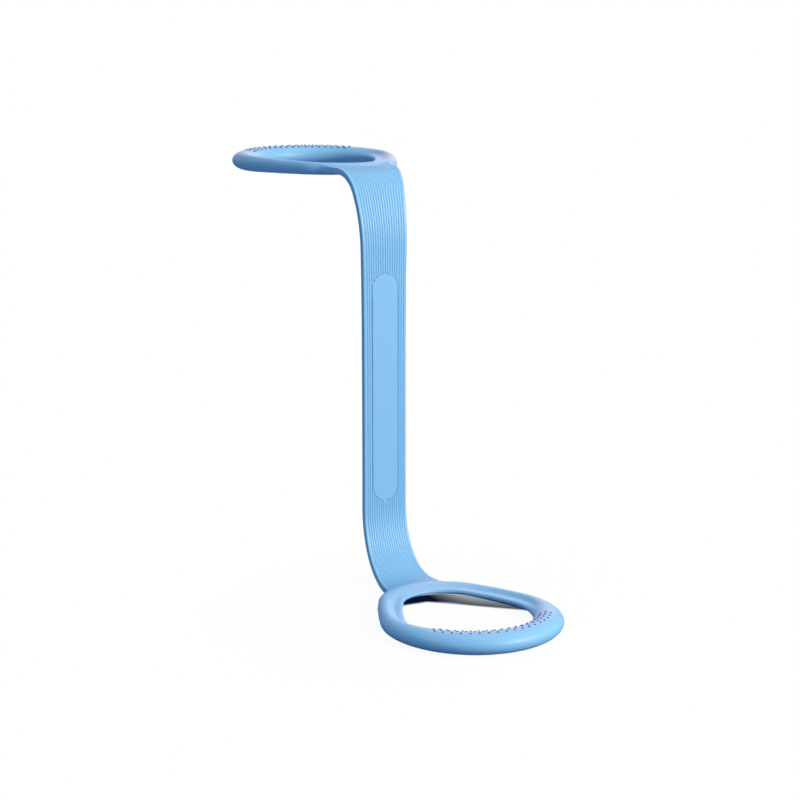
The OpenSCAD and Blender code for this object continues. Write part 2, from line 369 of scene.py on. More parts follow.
@dataclass
class Ring:
    """A closed loop of the moulding: an egg-shaped tube, round at the grip and drawn in to a lip elsewhere.

    Towards the strap the tube gets thinner, and its inner side slopes down to the lip round the opening.
    """

    end: End
    place: NeckFrame
    strap_end_radius: float = 35.5
    grip_end_radius: float = 57.0
    side_taper: float = 23.83
    tube_radius: float = 9.0
    neck_reach: float = 50.529
    strap_half: float = 4.3
    grip_half: float = 8.197
    grip_swell: float = 5.5
    swell_run: tuple[float, float] = (35.0, 140.0)
    side_bulge: float = 2.4
    bulge_run: float = 60.0
    neck_swell: float = 3.5
    neck_run: tuple[float, float] = (130.0, 200.0)
    lip_radius: float = 1.7
    lip_lift: float = 1.2
    lip_run: tuple[float, float] = (60.0, 125.0)
    slope_share: float = 0.82
    crease_run: tuple[float, float] = (140.0, 185.0)
    crease_shift: float = 0.35
    fillet_limits: tuple[float, float] = (1.0, 400.0)
    fillet_tries: int = 40
    sink_steps: int = 10
    sink_depth: float = 2.0
    section_points: int = 120
    station_gap: float = 1.1

    @property
    def arc_spacing(self) -> float:
        """Distance between the centres of the two end arcs."""
        return (self.grip_end_radius - self.strap_end_radius) / math.sin(math.radians(self.side_taper))

    @property
    def start(self) -> float:
        """Where the ring's outline starts, from the end of the bend."""
        return self.neck_reach - self.strap_end_radius - self.tube_radius

    @property
    def grip_centre(self) -> float:
        """Where the grip arc's centre lies, from the end of the bend."""
        return self.neck_reach + self.arc_spacing

    @property
    def length(self) -> float:
        """Length of the ring along the strap's direction."""
        return self.strap_end_radius + self.arc_spacing + self.grip_end_radius + 2 * self.tube_radius

    @property
    def face_slope(self) -> float:
        """How much the underside drops along the ring."""
        return (self.grip_half - self.strap_half) / self.length

    def half(self, along: np.ndarray | float) -> np.ndarray | float:
        """Gives half the tube's height at a distance from the end of the bend."""
        return self.strap_half + (along - self.start) * self.face_slope

    def centre_line(self) -> tuple[np.ndarray, np.ndarray]:
        """Follows the tube round the ring.

        Returns:
            Points on the centre line and their outward directions, both as u and v.
        """
        half_turn = 90.0 + self.side_taper
        grip = self.arc(self.grip_centre, self.grip_end_radius, -half_turn, half_turn)
        strap_end = self.arc(self.neck_reach, self.strap_end_radius, half_turn, 360.0 - half_turn)
        points, outward = [], []
        for this, other in ((grip, strap_end), (strap_end, grip)):
            gap = other[0][0] - this[0][-1]
            steps = max(2, round(float(np.linalg.norm(gap)) / self.station_gap))
            shares = np.arange(1, steps)[:, None] / steps
            points += [this[0], this[0][-1] + gap * shares]
            outward += [this[1], np.repeat(this[1][-1:], steps - 1, axis=0)]
        line, square = np.concatenate(points), np.concatenate(outward)
        side = self.grip_end_radius * math.radians(half_turn) + float(np.linalg.norm(gap)) / 2
        off = np.clip(np.abs(self.from_tip(line) - side) / self.bulge_run, 0.0, 1.0)
        return line + square * (self.side_bulge * np.cos(off * math.pi / 2) ** 2)[:, None], square

    def arc(self, centre: float, radius: float, begin: float, finish: float) -> tuple[np.ndarray, np.ndarray]:
        """Draws one end arc of the centre line.

        Args:
            centre: the arc's centre along u.
            radius: its radius.
            begin: its first angle, in degrees from u.
            finish: its last angle.

        Returns:
            Its points and their outward directions.
        """
        steps = 2 * max(4, round(math.radians(finish - begin) * radius / self.station_gap / 2))
        angles = np.radians(np.linspace(begin, finish, steps + 1))
        outward = np.stack([np.cos(angles), np.sin(angles)], axis=-1)
        return outward * radius + np.array([centre, 0.0]), outward

    def from_tip(self, points: np.ndarray) -> np.ndarray:
        """Measures along the tube from the tip of the grip, either way round.

        Args:
            points: the closed centre line.

        Returns:
            A distance for each point.
        """
        steps = np.linalg.norm(np.diff(points, axis=0, append=points[:1]), axis=1)
        gone = np.concatenate([[0.0], np.cumsum(steps[:-1])])
        away = np.abs(gone - gone[int(np.argmax(points[:, 0]))])
        return np.minimum(away, steps.sum() - away)

    def ramp(self, away: np.ndarray, run: tuple[float, float]) -> np.ndarray:
        """Eases from 0 to 1 between two distances from the tip."""
        return smooth_step((away - run[0]) / (run[1] - run[0]))

    def lipped_section(self, turn: np.ndarray, half: np.ndarray, level: np.ndarray, inset: np.ndarray,
                       crease: np.ndarray) -> tuple[np.ndarray, np.ndarray]:
        """Draws half a section with a lip: round outside, then a dished slope and a round lip.

        Args:
            turn: places round the section, from 0 at the outside to pi at the inside.
            half: the height of the crest.
            level: the height of the lip's middle.
            inset: how far the lip reaches in beyond the tube's radius.
            crease: how early the slope falls, from 0 for an even slope to 1 for a flat in front of the lip.

        Returns:
            Distances outward from the centre line, and heights.
        """
        crest = self.tube_radius - half
        inner = np.clip(turn / (math.pi / 2) - 1.0, 0.0, 1.0)
        run = np.clip(inner / self.slope_share, 0.0, 1.0)
        curl = np.clip((inner - self.slope_share) / (1.0 - self.slope_share), 0.0, 1.0) * math.pi / 2
        lip_centre = self.lip_radius - self.tube_radius - inset
        round_out = np.minimum(turn, math.pi / 2)
        side = np.where(inner > 0.0, crest + (lip_centre - crest) * run - self.lip_radius * np.sin(curl),
                        crest + half * np.cos(round_out))
        fallen = smooth_step(run / (1.0 - self.crease_shift * crease))
        dished = half + (level + self.lip_radius - half) * fallen
        rise = np.where(inner > 0.0, dished - self.lip_radius * (1.0 - np.cos(curl)),
                        half * np.sin(round_out))
        return side, rise

    def mesh(self) -> bpy.types.Mesh:
        """Sweeps the section round the centre line.

        Returns:
            The ring's mesh.
        """
        points, outward = self.centre_line()
        away = self.from_tip(points)[:, None]
        turn = np.linspace(0.0, 2.0 * math.pi, self.section_points, endpoint=False)
        above = turn <= math.pi
        folded = np.where(above, turn, 2.0 * math.pi - turn)
        half = self.half(points[:, None, 0] + outward[:, None, 0] * self.tube_radius * np.cos(turn))
        crease = 1.0 - self.ramp(away, self.crease_run)
        level = np.where(above, self.lip_lift, -self.lip_lift)
        inset = self.neck_swell * self.ramp(away, self.neck_run)
        turns = np.broadcast_to(folded, half.shape)
        lip_side, lip_rise = self.lipped_section(turns, half, level, inset, crease)
        swell = self.grip_swell * (1.0 - self.ramp(away, self.swell_run))
        lip = self.ramp(away, self.lip_run)
        side = lip * lip_side + (1.0 - lip) * ((self.tube_radius + swell / 2) * np.cos(folded) - swell / 2)
        rise = lip * lip_rise + (1.0 - lip) * half * np.sin(folded)
        loops = np.empty((len(points), self.section_points, 3))
        loops[..., :2] = points[:, None, :] + outward[:, None, :] * side[..., None]
        loops[..., 2] = np.where(above, rise, -rise)
        return swept_mesh(f"{self.end.value}_loop_tube", self.place.place(loops), closed=True)

    def outline(self) -> tuple[np.ndarray, np.ndarray]:
        """Follows the ring's outer edge on one side, away from the strap.

        Returns:
            Points and their outward directions, both as u and v.
        """
        points, outward = self.centre_line()
        order = np.argsort(-self.from_tip(points))
        side = order[points[order, 1] > 0.0]
        return points[side] + outward[side] * self.tube_radius, outward[side]

    def neck_edge(self, half_width: float) -> tuple[np.ndarray, np.ndarray, np.ndarray]:
        """Draws a neck's edge: a fillet from the strap that touches the ring, then a run that sinks into it.

        Args:
            half_width: half the strap's width where the neck starts.

        Returns:
            Points and outward directions as u and v, and how far each point is past the touch, from -1 to 1.
        """
        rim, square = self.outline()
        small, large = self.fillet_limits
        for _ in range(self.fillet_tries):
            radius = (small + large) / 2
            reach = np.linalg.norm(rim - np.array([0.0, half_width + radius]), axis=1)
            small, large = (radius, large) if reach.min() > radius else (small, radius)
        touch = int(np.argmin(reach))
        swing = math.atan2(rim[touch, 0], half_width + radius - rim[touch, 1])
        turn = np.linspace(0.0, swing, round(swing * radius / self.station_gap) + 1)
        away = np.stack([-np.sin(turn), np.cos(turn)], axis=-1)
        arc = np.array([0.0, half_width + radius]) - away * radius
        tail = slice(touch + 1, touch + 1 + self.sink_steps)
        sunk = np.arange(1, self.sink_steps + 1) / self.sink_steps
        drop = (self.sink_depth * smooth_step(sunk))[:, None]
        return (np.concatenate([arc, rim[tail] - square[tail] * drop]), np.concatenate([away, square[tail]]),
                np.concatenate([turn / swing - 1.0, sunk]))

    def build(self, rubber: bpy.types.Material) -> bpy.types.Object:
        """Makes the ring, dresses it and sets it on its body.

        Args:
            rubber: its finish.

        Returns:
            The finished piece.
        """
        name = self.end.value
        piece = finished(f"{name}_loop_tube", self.mesh())
        piece.data.materials.append(rubber)
        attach(piece, f"{name}_ring")
        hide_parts(f"{name}_loop")
        return piece


@dataclass
class GripNubs:
    """Raised dots on the top of a ring's grip: three rows, the inner and outer ones half a pitch along."""

    ring: Ring
    diameter: float = 2.0
    height: float = 0.6
    pitch: float = 6.6
    half_angle: float = 62.0
    band_angle: float = -8.0
    row_angle: float = 19.0
    dome_segments: int = 12
    dome_rings: int = 8
    arc_points: int = 96

    def tree(self) -> bpy.types.NodeTree:
        """Builds the tree that sets one dome at each place of three arcs, square to the tube.

        Returns:
            The tree, whose lengths are in metres and whose angles are in radians.
        """
        tree, given = new_tree("grip_nub_rows", {
            "Grip Radius": "NodeSocketFloat", "Tube Radius": "NodeSocketFloat", "Top Half": "NodeSocketFloat",
            "Band Angle": "NodeSocketFloat", "Row Angle": "NodeSocketFloat", "Step": "NodeSocketFloat",
            "Count": "NodeSocketInt", "Nub Size": "NodeSocketVector", "Place": "NodeSocketVector",
            "Turn": "NodeSocketRotation", "Finish": "NodeSocketMaterial"})
        size = given.outputs
        ball = add_node(tree, "GeometryNodeMeshUVSphere",
                        {"Segments": self.dome_segments, "Rings": self.dome_rings, "Radius": 1.0})
        dome = add_node(tree, "GeometryNodeTransform",
                        {"Geometry": ball.outputs["Mesh"], "Scale": size["Nub Size"]})
        rows = add_node(tree, "GeometryNodeJoinGeometry")
        for row in (-1, 0, 1):
            nubs = self.row(tree, size, dome.outputs["Geometry"], row)
            tree.links.new(nubs.outputs["Instances"], rows.inputs["Geometry"])
        seated = add_node(tree, "GeometryNodeTransform",
                          {"Geometry": rows.outputs["Geometry"], "Translation": size["Place"],
                           "Rotation": size["Turn"]})
        close_tree(tree, seated.outputs["Geometry"], size["Finish"])
        return tree

    def row(self, tree: bpy.types.NodeTree, size: bpy.types.bpy_prop_collection, dome: bpy.types.NodeSocket,
            row: int) -> bpy.types.Node:
        """Adds one row of nubs to the tree.

        Args:
            tree: the tree.
            size: its named inputs.
            dome: one nub.
            row: -1 for the inner row, 0 for the middle one and 1 for the outer one.

        Returns:
            The node that gives the row's nubs.
        """
        angle = worked(tree, "MULTIPLY_ADD", size["Row Angle"], float(row), size["Band Angle"])
        outward = worked(tree, "SINE", angle)
        upward = worked(tree, "COSINE", angle)
        radius = worked(tree, "MULTIPLY_ADD", outward, size["Tube Radius"], size["Grip Radius"])
        height = worked(tree, "MULTIPLY", upward, size["Top Half"])
        count = worked(tree, "SUBTRACT", size["Count"], float(abs(row)))
        gaps = worked(tree, "SUBTRACT", count, 1.0)
        sweep = worked(tree, "MULTIPLY", gaps, size["Step"])
        begin = worked(tree, "MULTIPLY", sweep, -0.5)
        arc = add_node(tree, "GeometryNodeCurveArc",
                       {"Resolution": self.arc_points, "Radius": radius, "Start Angle": begin,
                        "Sweep Angle": sweep})
        spots = add_node(tree, "GeometryNodeCurveToPoints", {"Curve": arc.outputs["Curve"], "Count": count},
                         mode="COUNT")
        level = add_node(tree, "ShaderNodeCombineXYZ", {"Z": height})
        raised = add_node(tree, "GeometryNodeSetPosition",
                          {"Geometry": spots.outputs["Points"], "Offset": level.outputs["Vector"]})
        spot = add_node(tree, "GeometryNodeInputPosition")
        plan = add_node(tree, "ShaderNodeVectorMath", {0: spot.outputs["Position"], 1: (1.0, 1.0, 0.0)},
                        operation="MULTIPLY")
        away = add_node(tree, "ShaderNodeVectorMath", {0: plan.outputs["Vector"]}, operation="NORMALIZE")
        sideways = add_node(tree, "ShaderNodeVectorMath", {0: away.outputs["Vector"], "Scale": outward},
                            operation="SCALE")
        straight_up = add_node(tree, "ShaderNodeCombineXYZ", {"Z": upward})
        square = add_node(tree, "ShaderNodeVectorMath",
                          {0: sideways.outputs["Vector"], 1: straight_up.outputs["Vector"]}, operation="ADD")
        aim = add_node(tree, "FunctionNodeAlignRotationToVector", {"Vector": square.outputs["Vector"]},
                       axis="Z")
        return add_node(tree, "GeometryNodeInstanceOnPoints",
                        {"Points": raised.outputs["Geometry"], "Instance": dome,
                         "Rotation": aim.outputs["Rotation"]})

    def build(self, rubber: bpy.types.Material) -> bpy.types.Object:
        """Sets the nubs on the ring's grip.

        Args:
            rubber: their finish, painted darker as the shade round each nub.

        Returns:
            The finished piece.
        """
        ring = self.ring
        name = ring.end.value
        lean = Matrix.Rotation(-math.atan(ring.face_slope), 4, "Y")
        seat = ring.place.matrix() @ Matrix.Translation((ring.grip_centre, 0.0, 0.0)) @ lean
        step = self.pitch / ring.grip_end_radius
        mesh = baked_tree(f"{name}_loop_nubs", bpy.data.meshes.new("no_nubs"), self.tree(), {
            "Grip Radius": (ring.grip_end_radius - ring.grip_swell / 2) * MM,
            "Tube Radius": (ring.tube_radius + ring.grip_swell / 2) * MM,
            "Top Half": ring.half(ring.grip_centre) * MM,
            "Band Angle": math.radians(self.band_angle),
            "Row Angle": math.radians(self.row_angle),
            "Step": step,
            "Count": 2 * int(math.radians(self.half_angle) / step) + 1,
            "Nub Size": (self.diameter / 2 * MM, self.diameter / 2 * MM, self.height * MM),
            "Place": tuple(seat.translation * MM),
            "Turn": tuple(seat.to_euler()),
            "Finish": rubber})
        piece = finished(f"{name}_loop_nubs", mesh)
        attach(piece, f"{name}_ring")
        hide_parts(f"{name}_grip_nubs")
        return piece


@dataclass(frozen=True)
class Station:
    """One place along the strap: its point and direction in X and Z, and its half sizes."""

    point: tuple[float, float]
    heading: tuple[float, float]
    half_width: float
    half_thickness: float


@dataclass
class StrapLine:
    """The strap's line from the upper ring down to the lower ring, and its width and thickness along it."""

    upper: NeckFrame
    width: float = 36.0
    thickness: float = 5.0
    upper_flare: tuple[float, float] = (8.0, 32.0)
    lower_flare: tuple[float, float] = (5.0, 22.0)
    straight_length: float = 204.0
    upper_arcs: tuple[tuple[float, float], ...] = ((24.0, 65.0), (104.0, 25.0))
    lower_arcs: tuple[tuple[float, float], ...] = ((63.0, 31.0), (42.0, 60.363))
    gap: float = 1.0

    def arcs(self, start: tuple[float, float], heading: float, sweeps: tuple[tuple[float, float], ...],
             turn: int) -> list[tuple[float, float, float]]:
        """Follows arcs, one after another.

        Args:
            start: the first point in X and Z.
            heading: the first direction, in degrees from X towards Z.
            sweeps: each arc's radius and angle.
            turn: 1 where the line turns from X towards Z, and -1 where it turns the other way.

        Returns:
            X, Z and heading at each step.
        """
        places = [(start[0], start[1], heading)]
        for radius, angle in sweeps:
            steps = max(6, round(math.radians(angle) * radius / self.gap))
            x, z, first = places[-1]
            normal = math.radians(first + 90.0 * turn)
            centre = (x + radius * math.cos(normal), z + radius * math.sin(normal))
            for step in range(1, steps + 1):
                now = first + turn * angle * step / steps
                back = math.radians(now - 90.0 * turn)
                places.append((centre[0] + radius * math.cos(back), centre[1] + radius * math.sin(back), now))
        return places

    def arcs_length(self, sweeps: tuple[tuple[float, float], ...]) -> float:
        """Gives the length of a row of arcs."""
        return sum(math.radians(angle) * radius for radius, angle in sweeps)

    @property
    def length(self) -> float:
        """Length from one neck to the other."""
        return self.arcs_length(self.upper_arcs) + self.straight_length + self.arcs_length(self.lower_arcs)

    def half_width(self, from_upper: float) -> float:
        """Gives half the strap's width, which spreads towards both rings.

        Args:
            from_upper: distance along the strap from the end of the upper neck.

        Returns:
            Half the width.
        """
        half = self.width / 2
        from_lower = self.length - from_upper
        for (spread, reach), away in ((self.upper_flare, from_upper), (self.lower_flare, from_lower)):
            half += spread * math.exp(-away / reach)
        return half

    def bend(self, places: list[tuple[float, float, float]], begin: float) -> list[Station]:
        """Gives a bend's stations their widths.

        Args:
            places: X, Z and heading along the bend.
            begin: how far along the strap the bend starts.

        Returns:
            The stations.
        """
        made = []
        gone = begin
        for number, (x, z, heading) in enumerate(places):
            if number:
                gone += math.dist((x, z), places[number - 1][:2])
            course = math.radians(heading)
            made.append(Station((x, z), (math.cos(course), math.sin(course)), self.half_width(gone),
                                self.thickness / 2))
        return made

    def upper_bend(self) -> list[Station]:
        """Gives the stations from the upper neck to the straight strap."""
        return self.bend(self.arcs(self.upper.origin, 0.0, self.upper_arcs, -1), 0.0)

    def straight_top(self) -> tuple[float, float]:
        """Gives the point where the straight strap starts."""
        return self.arcs(self.upper.origin, 0.0, self.upper_arcs, -1)[-1][:2]

    def straight(self, depths: np.ndarray) -> list[Station]:
        """Gives stations at depths below the top of the straight strap."""
        x, z = self.straight_top()
        begin = self.arcs_length(self.upper_arcs)
        return [Station((x, z - float(depth)), (0.0, -1.0), self.half_width(begin + float(depth)),
                        self.thickness / 2) for depth in depths]

    def lower_bend(self) -> list[Station]:
        """Gives the stations from the straight strap to the lower neck."""
        x, z = self.straight_top()
        places = self.arcs((x, z - self.straight_length), -90.0, self.lower_arcs, 1)
        return self.bend(places, self.arcs_length(self.upper_arcs) + self.straight_length)


@dataclass
class RibbedBand:
    """The ribbed strap: fine ribs along both faces, rounded edges and a shallow seat for the panel."""

    line: StrapLine
    rubber: bpy.types.Material
    ribs: int = 18
    points_a_rib: int = 8
    groove_depth: float = 0.42
    groove_share: float = 0.6
    edge_radius: float = 0.9
    edge_points: int = 5
    rim_radius: float = 42.0
    rim_step: float = 0.8
    join_power: int = 2
    edge_power: int = 4
    front_facing: float = 0.5
    tree: bpy.types.NodeTree = field(init=False)

    def __post_init__(self) -> None:
        """Builds the tree that all stretches of the band share."""
        self.tree = self.rib_tree()

    @property
    def pitch(self) -> float:
        """Distance between ribs on the straight strap."""
        return self.line.width / self.ribs

    def rib_tree(self) -> bpy.types.NodeTree:
        """Builds the tree that presses grooves into a plain band, by the distance across it.

        Returns:
            The tree, whose lengths are in metres.
        """
        tree, given = new_tree("moulded_ribs", {
            "Pitch": "NodeSocketFloat", "Groove Depth": "NodeSocketFloat", "Groove Share": "NodeSocketFloat",
            "Finish": "NodeSocketMaterial"})
        size = given.outputs
        across, ribbed, outward = (
            add_node(tree, "GeometryNodeInputNamedAttribute", {"Name": mark}, data_type=kind).outputs[0]
            for mark, kind in (("across", "FLOAT"), ("ribbed", "FLOAT"), ("outward", "FLOAT_VECTOR")))
        turns = worked(tree, "DIVIDE", across, size["Pitch"])
        part = worked(tree, "FRACT", turns)
        swing = worked(tree, "MULTIPLY_ADD", part, 2.0, -1.0)
        nearness = worked(tree, "ABSOLUTE", swing)
        foot = worked(tree, "SUBTRACT", 1.0, size["Groove Share"])
        groove = ramped(tree, nearness, (foot, 1.0), eased=True)
        shown = worked(tree, "MULTIPLY", groove, ribbed)
        depth = worked(tree, "MULTIPLY", shown, size["Groove Depth"])
        inward = worked(tree, "MULTIPLY", depth, -1.0)
        shift = add_node(tree, "ShaderNodeVectorMath", {0: outward, "Scale": inward}, operation="SCALE")
        pressed = add_node(tree, "GeometryNodeSetPosition",
                           {"Geometry": size["Geometry"], "Offset": shift.outputs["Vector"]})
        # The groove share is kept on the mesh so that the finish can paint shade into the grooves.
        marked = add_node(tree, "GeometryNodeStoreNamedAttribute",
                          {"Geometry": pressed.outputs["Geometry"], "Name": "groove", "Value": shown},
                          data_type="FLOAT", domain="POINT")
        close_tree(tree, marked.outputs["Geometry"], size["Finish"])
        return tree

    def section(self) -> np.ndarray:
        """Lays out the section once, from the front across to the right edge, the back and the left edge.

        Returns:
            Rows of share across, corner reach sideways, side of the band, corner reach through it, and 1 on
            a face.
        """
        face = np.linspace(-1.0, 1.0, self.ribs * self.points_a_rib + 1)
        corner = np.linspace(0.0, math.pi / 2, self.edge_points + 1)[1:]
        flat, bend = np.ones_like(face), np.ones_like(corner)
        front = np.stack([face, 0 * flat, flat, flat, flat], axis=-1)
        right_front = np.stack([bend, np.sin(corner), bend, np.cos(corner), 0 * bend], axis=-1)
        right_back = right_front[::-1] * np.array([1.0, 1.0, -1.0, -1.0, 1.0])
        half = np.concatenate([front, right_front, right_back])
        return np.concatenate([half, half * np.array([-1.0, -1.0, -1.0, -1.0, 1.0])])

    def loops(self, stations: list[Station]) -> tuple[np.ndarray, np.ndarray, np.ndarray]:
        """Draws the plain section at each station.

        Args:
            stations: places along the strap.

        Returns:
            Points, outward directions, and the distance across as on the straight strap.
        """
        share, out, level, round_off, _ = self.section().T
        loops = np.empty((len(stations), len(share), 3))
        outward = np.empty_like(loops)
        for number, station in enumerate(stations):
            normal = np.array([-station.heading[1], 0.0, station.heading[0]])
            sideways = share * (station.half_width - self.edge_radius) + out * self.edge_radius
            through = level * (station.half_thickness - self.edge_radius) + round_off * self.edge_radius
            middle = np.array([station.point[0], 0.0, station.point[1]])
            loops[number] = middle + through[:, None] * normal + sideways[:, None] * np.array([0.0, 1.0, 0.0])
            outward[number] = level[:, None] * normal
        across = np.broadcast_to(share * self.line.width / 2, loops.shape[:2])
        return loops, outward, across

    def neck_loops(self, ring: Ring) -> tuple[np.ndarray, np.ndarray, np.ndarray]:
        """Draws a neck: its ribs fan out along the fillets and end under the ring's round rim.

        Args:
            ring: the ring that the neck joins.

        Returns:
            Points, outward directions, and the distance across as on the straight strap.
        """
        share, out, level, round_off, _ = self.section().T
        line = self.line
        rim, square, past = ring.neck_edge(line.half_width(0.0 if ring.end is End.UPPER else line.length))
        joined = smooth_step(past + 1.0)[:, None] ** self.join_power
        sunk = self.rim_step * smooth_step(past)[:, None]
        thin = line.thickness / 2
        edge = self.edge_radius + (ring.half(rim[:, :1]) - sunk - self.edge_radius) * joined
        base = rim - square * edge
        reach = ring.neck_reach - np.sqrt(self.rim_radius ** 2 - (share * base[-1, 1]) ** 2)
        along = base[:, :1] * reach / reach.max()
        half = thin + (ring.half(along) - sunk - thin) * joined * share ** self.edge_power
        points = np.stack([along + square[:, :1] * np.abs(out) * edge,
                           base[:, 1:] * share + square[:, 1:] * out * edge,
                           level * (half - edge) + round_off * edge], axis=-1)
        up = np.array(ring.place.matrix())[:3, 2]
        outward = np.broadcast_to(level[:, None] * up, points.shape)
        return ring.place.place(points), outward, np.broadcast_to(share * line.width / 2, along.shape)

    def ribbed(self, shape: tuple[int, ...]) -> np.ndarray:
        """Marks the points that lie on a ribbed face, away from its outer edges."""
        section = self.section()
        inner = np.abs(section[:, 0]) * self.line.width / 2 < (self.line.width - self.pitch) / 2
        return np.broadcast_to(section[:, 4] * inner, shape[:2]).copy()

    def stretch(self, name: str, drawn: tuple[np.ndarray, np.ndarray, np.ndarray],
                panel: "LabelPanel | None" = None) -> bpy.types.Object:
        """Makes one stretch of the band.

        Args:
            name: the piece's name.
            drawn: its points, outward directions and distances across.
            panel: the panel whose seat lies in its front, if any.

        Returns:
            The piece, not yet on a body.
        """
        loops, outward, across = drawn
        ribbed = self.ribbed(loops.shape)
        if panel is not None:
            inside = panel.inside(loops) * (outward[..., 0] > self.front_facing)
            loops = loops - outward * (inside * panel.seat_depth)[..., None]
            ribbed = ribbed * (1.0 - inside)
        base = swept_mesh(name + "_plain", loops, closed=False)
        for label, kind, values in (("across", "FLOAT", across * MM), ("ribbed", "FLOAT", ribbed),
                                    ("outward", "FLOAT_VECTOR", outward)):
            store = base.attributes.new(label, kind, "POINT")
            store.data.foreach_set("vector" if kind == "FLOAT_VECTOR" else "value",
                                   np.ascontiguousarray(values, dtype=np.float32).ravel())
        mesh = baked_tree(name, base, self.tree, {
            "Pitch": self.pitch * MM, "Groove Depth": self.groove_depth * MM,
            "Groove Share": self.groove_share, "Finish": self.rubber})
        return finished(name, mesh)

    def build_neck(self, ring: Ring) -> None:
        """Makes a ring's neck and sets it on the ring's body."""
        end = ring.end.value
        piece = self.stretch(f"{end}_neck_plate", self.neck_loops(ring))
        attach(piece, f"{end}_ring")
        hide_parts(f"{end}_neck")

    def build_bend(self, end: End) -> None:
        """Makes a bend and bakes its place into its mesh."""
        stations = self.line.upper_bend() if end is End.UPPER else self.line.lower_bend()
        piece = self.stretch(f"{end.value}_bend_band", self.loops(stations))
        bodies = [f"{end.value}_ring", f"{end.value}_strap"]
        if end is End.LOWER:
            bodies.reverse()
        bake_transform(piece)
        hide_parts(f"{end.value}_bend")


@dataclass
class LabelPanel:
    """The smooth panel with round ends on the strap's front, bare of any print."""

    line: StrapLine
    length: float = 179.0
    width: float = 21.4
    drop: float = 7.0
    seat_depth: float = 0.6
    seat_room: float = 0.15
    edge_round: float = 0.35
    edge_steps: int = 5
    columns: int = 24
    height_gap: float = 1.5
    end_angles: tuple[float, float] = (-6.0, 90.0)
    end_steps: int = 41
    tip_trim: float = 0.02

    @property
    def middle(self) -> float:
        """Height of the panel's middle."""
        return self.line.straight_top()[1] - self.line.straight_length / 2 - self.drop

    def half_width(self, height: np.ndarray, grow: float = 0.0) -> np.ndarray:
        """Gives half the panel's width at a height, grown by a margin."""
        radius = self.width / 2 + grow
        past = np.maximum(np.abs(height - self.middle) - (self.length - self.width) / 2, 0.0)
        return np.sqrt(np.maximum(radius ** 2 - past ** 2, 0.0))

    def inside(self, points: np.ndarray) -> np.ndarray:
        """Marks points that lie over the panel's seat."""
        half = self.half_width(points[..., 2], self.seat_room)
        return ((half > 0.0) & (np.abs(points[..., 1]) < half)).astype(float)

    def heights(self, bottom: float, top: float) -> np.ndarray:
        """Spaces heights along a stretch, close together at the panel's round ends.

        Args:
            bottom: the stretch's lowest height.
            top: its highest height.

        Returns:
            Heights from the top down.
        """
        spots = list(np.linspace(top, bottom, max(2, round((top - bottom) / self.height_gap) + 1)))
        angles = np.radians(np.linspace(*self.end_angles, self.end_steps))
        for tip in (self.middle + self.length / 2, self.middle - self.length / 2):
            inner = np.sign(self.middle - tip)
            spots += list(tip + inner * self.width / 2 * (1.0 - np.cos(angles)) * np.sign(angles))
        kept = sorted({round(spot, 3) for spot in spots if bottom <= spot <= top}, reverse=True)
        return np.array(kept)

    def plate(self, name: str, bottom: float, top: float, rubber: bpy.types.Material) -> bpy.types.Object:
        """Makes the panel's plate between two heights.

        Args:
            name: the piece's name.
            bottom: the lowest height.
            top: the highest height.
            rubber: its finish.

        Returns:
            The piece, not yet on a body.
        """
        reach = self.length / 2 - self.tip_trim
        heights = self.heights(max(bottom, self.middle - reach), min(top, self.middle + reach))
        half = self.half_width(heights)
        front = self.line.straight_top()[0] + self.line.thickness / 2
        rounding = np.linspace(0.0, math.pi / 2, self.edge_steps)
        edge_in = self.edge_round * (1.0 - np.sin(rounding))
        edge_down = self.edge_round * (1.0 - np.cos(rounding))
        shares = np.linspace(-1.0, 1.0, self.columns + 1)[1:-1]
        loops = []
        for height, wide in zip(heights, half):
            fit = min(1.0, wide / (2 * self.edge_round))
            left = [(-wide + i * fit, d * fit) for i, d in zip(edge_in[::-1], edge_down[::-1])]
            flat = [(share * (wide - self.edge_round * fit), 0.0) for share in shares]
            right = [(-y, d) for y, d in reversed(left)]
            outline = [(-wide, self.seat_depth), *left, *flat, *right, (wide, self.seat_depth)]
            loops.append([(front - d, y, height) for y, d in outline])
        piece = finished(name, swept_mesh(name, np.array(loops), closed=False))
        piece.data.materials.append(rubber)
        return piece


@dataclass
class StraightStrap:
    """The straight strap with its panel: an upper web, a middle and a lower web."""

    band: RibbedBand
    panel: LabelPanel
    panel_rubber: bpy.types.Material
    middle_length: float = 30.0
    seam_inset: float = 0.5

    def build(self) -> None:
        """Makes the three webs and the panel's three plates; the middle ones go on the strap's centre body
        and the others are baked in place.
        """
        line = self.band.line
        x, top = line.straight_top()
        middle = top - line.straight_length / 2
        levels = [top, middle + self.middle_length / 2, middle - self.middle_length / 2,
                  top - line.straight_length]
        spans = (("upper", "top", levels[0], levels[1], ("upper_strap", "strap_centre")),
                 ("middle", "middle", levels[1], levels[2], ("strap_centre",)),
                 ("lower", "bottom", levels[2], levels[3], ("strap_centre", "lower_strap")))
        for name, place, high, low, bodies in spans:
            stations = line.straight(top - self.panel.heights(low, high))
            web = self.band.stretch(f"{name}_web_band", self.band.loops(stations), self.panel)
            plate = self.panel.plate(f"label_panel_{place}", low, high, self.panel_rubber)
            for piece in (web, plate):
                if len(bodies) == 1:
                    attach(piece, bodies[0])
                else:
                    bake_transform(piece)
            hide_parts(f"{name}_web")
            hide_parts("label_panel")


@dataclass(frozen=True)
class Lamp:
    """A square soft lamp: its place and side in millimetres, its power in watts and its light as sRGB."""

    name: str
    place: tuple[float, float, float]
    side: float
    watts: float
    colour: str


